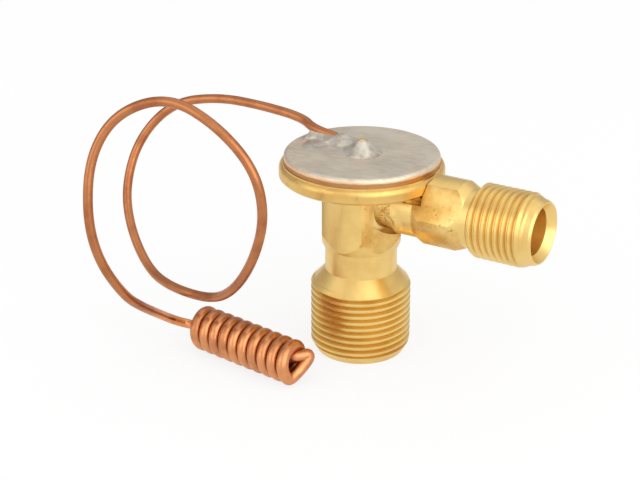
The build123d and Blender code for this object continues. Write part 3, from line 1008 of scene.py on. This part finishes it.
class VALVE_OT_cap_solder(Operator):
    """Run the solder round the charge plug and along the end of the tube"""

    bl_idname = "valve.cap_solder"
    bl_label = "Solder on the Cap"

    def execute(self, context):
        _, _, head = settings_of(context)
        # The grid covers the solder's part of the cap, counted in steps from the cap's middle. What is
        # thinner than the least height is left out, and the rest sinks a little into the cap.
        step, least, sink = 0.16 * MM, 0.03 * MM, 0.1 * MM
        west, east, south, north = -100, 46, -40, 52
        shell = bmesh.new()
        grid = {}
        for column in range(west, east):
            for row in range(south, north):
                place = Vector((column * step, row * step))
                grid[column, row] = (place, solder_height(place, head))
        made = {}
        for column in range(west, east - 1):
            for row in range(south, north - 1):
                keys = ((column, row), (column + 1, row), (column + 1, row + 1), (column, row + 1))
                if max(grid[key][1] for key in keys) < least:
                    continue
                for key in keys:
                    if key not in made:
                        place, height = grid[key]
                        made[key] = shell.verts.new((place.x, place.y, CAP_TOP + max(height - 0.02 * MM, 0)))
                shell.faces.new([made[key] for key in keys])
        under = bmesh.ops.extrude_face_region(shell, geom=shell.faces[:])
        for part in under["geom"]:
            if isinstance(part, bmesh.types.BMVert):
                part.co.z = CAP_TOP - sink
        bmesh.ops.recalc_face_normals(shell, faces=shell.faces)
        mesh = bpy.data.meshes.new("cap_solder_run")
        shell.to_mesh(mesh)
        shell.free()
        mesh.materials.append(soft_solder())
        smooth(mesh, radians(60))
        piece = link_object("cap_solder_run", mesh)
        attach(piece, "valve")
        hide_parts("cap_solder")
        return {"FINISHED"}


# ---- Spring ----
class VALVE_OT_spring(Operator):
    """Part the spring at its middle into two halves"""

    bl_idname = "valve.spring"
    bl_label = "Spring Halves"

    def execute(self, context):
        low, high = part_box("superheat_spring")
        middle = (low[2] + high[2]) / 2
        wire = spring_wire()
        halves = (
            ("spring_lower_half", "spring_seat", -1, low[2] + SPRING_WIRE),
            ("spring_upper_half", "valve_train", 1, high[2] - SPRING_WIRE),
        )
        for name, follows, side, last_turn in halves:
            shell = bmesh.new()
            shell.from_mesh(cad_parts["superheat_spring"].data)
            bmesh.ops.remove_doubles(shell, verts=shell.verts, dist=0.0005 * MM)
            bmesh.ops.bisect_plane(
                shell,
                geom=shell.verts[:] + shell.edges[:] + shell.faces[:],
                plane_co=(0, 0, middle),
                plane_no=(0, 0, side),
                clear_inner=True,
            )
            bmesh.ops.holes_fill(shell, edges=[edge for edge in shell.edges if edge.is_boundary])
            mesh = bpy.data.meshes.new(name)
            shell.to_mesh(mesh)
            shell.free()
            mesh.materials.clear()
            mesh.materials.append(wire)
            smooth(mesh, radians(40))
            piece = link_object(name, mesh)
            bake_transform(piece)
            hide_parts("superheat_spring")
        return {"FINISHED"}


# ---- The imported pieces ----
class VALVE_OT_finishes(Operator):
    """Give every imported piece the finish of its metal"""

    bl_idname = "valve.finishes"
    bl_label = "Metal Finishes"

    def execute(self, context):
        body, _, head = settings_of(context)
        turned = bpy.data.materials.get("turned_brass") or turned_brass(body)
        solder = bpy.data.materials.get("soft_solder") or soft_solder()
        stainless, gasket, screen = ground_stainless(), soft_copper(), woven_screen()
        finishes = {
            "head_base": turned_brass(body, "heat_stained_brass", 0.45, 0.4),
            "head_cap": tinned_steel(head),
            "rim_solder": turned,
            "charge_plug": turned,
            "head_gasket": gasket,
            "diaphragm": stainless,
            "thrust_plate": turned,
            "push_rod_1": stainless,
            "push_rod_2": stainless,
            "push_rod_3": stainless,
            "ball_carrier": turned,
            "valve_ball": stainless,
            "valve_seat": turned,
            "superheat_spring": bpy.data.materials.get("spring_wire") or spring_wire(),
            "spring_seat": turned,
            "adjusting_screw": turned,
            "strainer_ferrule": turned,
            "strainer_screen": screen,
            "valve_body": turned,
            "cap_solder": solder,
            "capillary_tube": gasket,
            "sensing_coil": gasket,
        }
        for name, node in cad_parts.items():
            node.data.materials.clear()
            node.data.materials.append(finishes[name])
        return {"FINISHED"}


# ---- Stage ----
class VALVE_OT_stage(Operator):
    """Place the camera, lay the floor and hang the lamps"""

    bl_idname = "valve.stage"
    bl_label = "Stage"

    def execute(self, context):
        stage = context.scene.valve_stage
        place_camera(context.scene, stage)
        lay_floor()
        hang_lamps(context.scene, stage)
        return {"FINISHED"}


def place_camera(scene, stage):
    """Stands the camera at its place, upright, and makes it the scene's own."""
    azimuth, elevation = stage.camera_azimuth, stage.camera_elevation
    back = Vector((sin(azimuth) * cos(elevation), -cos(azimuth) * cos(elevation), sin(elevation)))
    right = Vector((cos(azimuth), sin(azimuth), 0))
    up = back.cross(right)
    camera = bpy.data.objects.new("camera", bpy.data.cameras.new("camera"))
    camera.data.sensor_width = 36
    camera.data.lens = stage.focal_length
    camera.data.clip_start = 0.01
    turn = Matrix((right, up, back)).transposed().to_4x4()
    camera.matrix_world = Matrix.Translation(stage.camera_place) @ turn
    scene.collection.objects.link(camera)
    scene.camera = camera


def seen_plainly(tree):
    """1 for rays that show the background, to the camera or in a metal's gloss, and 0 for the rest."""
    path = tree.nodes.new("ShaderNodeLightPath").outputs
    seen = path["Is Camera Ray"]
    for ray in ("Is Glossy Ray", "Is Transmission Ray"):
        seen = add_node(tree, "ShaderNodeMath", {"Value": seen, "Value_001": path[ray]}, operation="MAXIMUM")
    return seen


def lay_floor():
    """A white floor that shows white, and still takes a soft part of the valve's shadow."""
    # It lies just under the barrel's end, so that the two faces don't flicker through each other.
    half, drop = 3.0, -0.05 * MM
    mesh = bpy.data.meshes.new("floor")
    corners = [(-half, -half, drop), (half, -half, drop), (half, half, drop), (-half, half, drop)]
    mesh.from_pydata(corners, [], [(0, 1, 2, 3)])
    floor = link_object("floor", mesh)
    material, tree = new_material("white_floor")
    paint = add_node(tree, "ShaderNodeBsdfDiffuse", {"Color": (0.85, 0.85, 0.85, 1)})
    white = add_node(tree, "ShaderNodeEmission", {"Color": (1, 1, 1, 1), "Strength": 1.0})
    share = add_node(
        tree, "ShaderNodeMath", {"Value": seen_plainly(tree), "Value_001": 0.82}, operation="MULTIPLY"
    )
    shown = add_node(tree, "ShaderNodeMixShader", {"Fac": share, "Shader": paint, "Shader_001": white})
    add_node(tree, "ShaderNodeOutputMaterial", {"Surface": shown})
    mesh.materials.append(material)


# Each softbox: its name, the way it hangs, its distance and size in metres, and its share of the key's power.
LAMPS = (
    ("key", (0.9, -0.5, 0.6), 0.9, 1.0, 1.0),
    ("fill", (-0.6, -0.9, 0.45), 1.0, 0.9, 0.55),
    ("top", (-0.1, 0.35, 1.0), 0.9, 0.9, 0.2),
)


def hang_lamp(scene, name, towards, distance, size, power):
    """A square softbox that looks at the valve from the given direction."""
    direction = Vector(towards).normalized()
    lamp = bpy.data.objects.new(name, bpy.data.lights.new(name, "AREA"))
    lamp.data.shape = "SQUARE"
    lamp.data.size = size
    lamp.data.energy = power
    turn = direction.to_track_quat("Z", "Y").to_matrix().to_4x4()
    lamp.matrix_world = Matrix.Translation(direction * distance) @ turn
    scene.collection.objects.link(lamp)


def hang_lamps(scene, stage):
    """Hangs three softboxes in a white room that darkens away from the key, and shows white to the camera."""
    brightest_way = Vector((0.75, -0.5, 0.45)).normalized()
    world = bpy.data.worlds.new("studio")
    world.use_nodes = True
    tree = world.node_tree
    tree.nodes.clear()
    way = add_node(tree, "ShaderNodeTexCoord", None, "Generated")
    towards_key = add_node(
        tree,
        "ShaderNodeVectorMath",
        {"Vector": way, "Vector_001": brightest_way},
        "Value",
        operation="DOT_PRODUCT",
    )
    level = add_node(
        tree,
        "ShaderNodeMapRange",
        {"Value": towards_key, "From Min": -0.7, "From Max": 0.9, "To Min": 0.5, "To Max": 1.1},
    )
    seen = tree.nodes.new("ShaderNodeLightPath").outputs["Is Camera Ray"]
    strength = add_node(tree, "ShaderNodeMath", {"Value": level, "Value_001": seen}, operation="MAXIMUM")
    sky = add_node(tree, "ShaderNodeBackground", {"Color": (1, 1, 1, 1), "Strength": strength})
    add_node(tree, "ShaderNodeOutputWorld", {"Surface": sky})
    scene.world = world
    for name, towards, distance, size, share in LAMPS:
        hang_lamp(scene, name, towards, distance, size, stage.key_power * share)
    scene.view_settings.view_transform = "Standard"


# ---- Add-on ----
STEPS = (
    "valve.stage",
    "valve.capillary",
    "valve.body",
    "valve.cap_solder",
    "valve.spring",
    "valve.finishes",
)
GROUPS = {
    "valve_body": BodySettings,
    "valve_tube": TubeSettings,
    "valve_head": HeadSettings,
    "valve_stage": StageSettings,
}


class VALVE_PT_dresser(Panel):
    """Lists the steps that dress the valve, and its sizes"""

    bl_label = "Expansion Valve"
    bl_space_type = "VIEW_3D"
    bl_region_type = "UI"
    bl_category = "Valve"

    def draw(self, context):
        for step in STEPS:
            self.layout.operator(step)
        for group in GROUPS:
            box = self.layout.box()
            settings = getattr(context.scene, group)
            for name in settings.__annotations__:
                box.prop(settings, name)


classes = (
    *GROUPS.values(),
    VALVE_OT_stage,
    VALVE_OT_capillary,
    VALVE_OT_body,
    VALVE_OT_cap_solder,
    VALVE_OT_spring,
    VALVE_OT_finishes,
    VALVE_PT_dresser,
)


def register():
    """Adds the classes and puts the settings on the scene."""
    for each in classes:
        bpy.utils.register_class(each)
    for group, settings in GROUPS.items():
        setattr(bpy.types.Scene, group, PointerProperty(type=settings))


def unregister():
    """Takes the settings off the scene and removes the classes."""
    for group in GROUPS:
        delattr(bpy.types.Scene, group)
    for each in reversed(classes):
        bpy.utils.unregister_class(each)


def main():
    register()
    bpy.ops.valve.stage()
    bpy.ops.valve.capillary()
    bpy.ops.valve.body()
    bpy.ops.valve.cap_solder()
    bpy.ops.valve.spring()
    bpy.ops.valve.finishes()


if __name__ == "__main__":
    main()
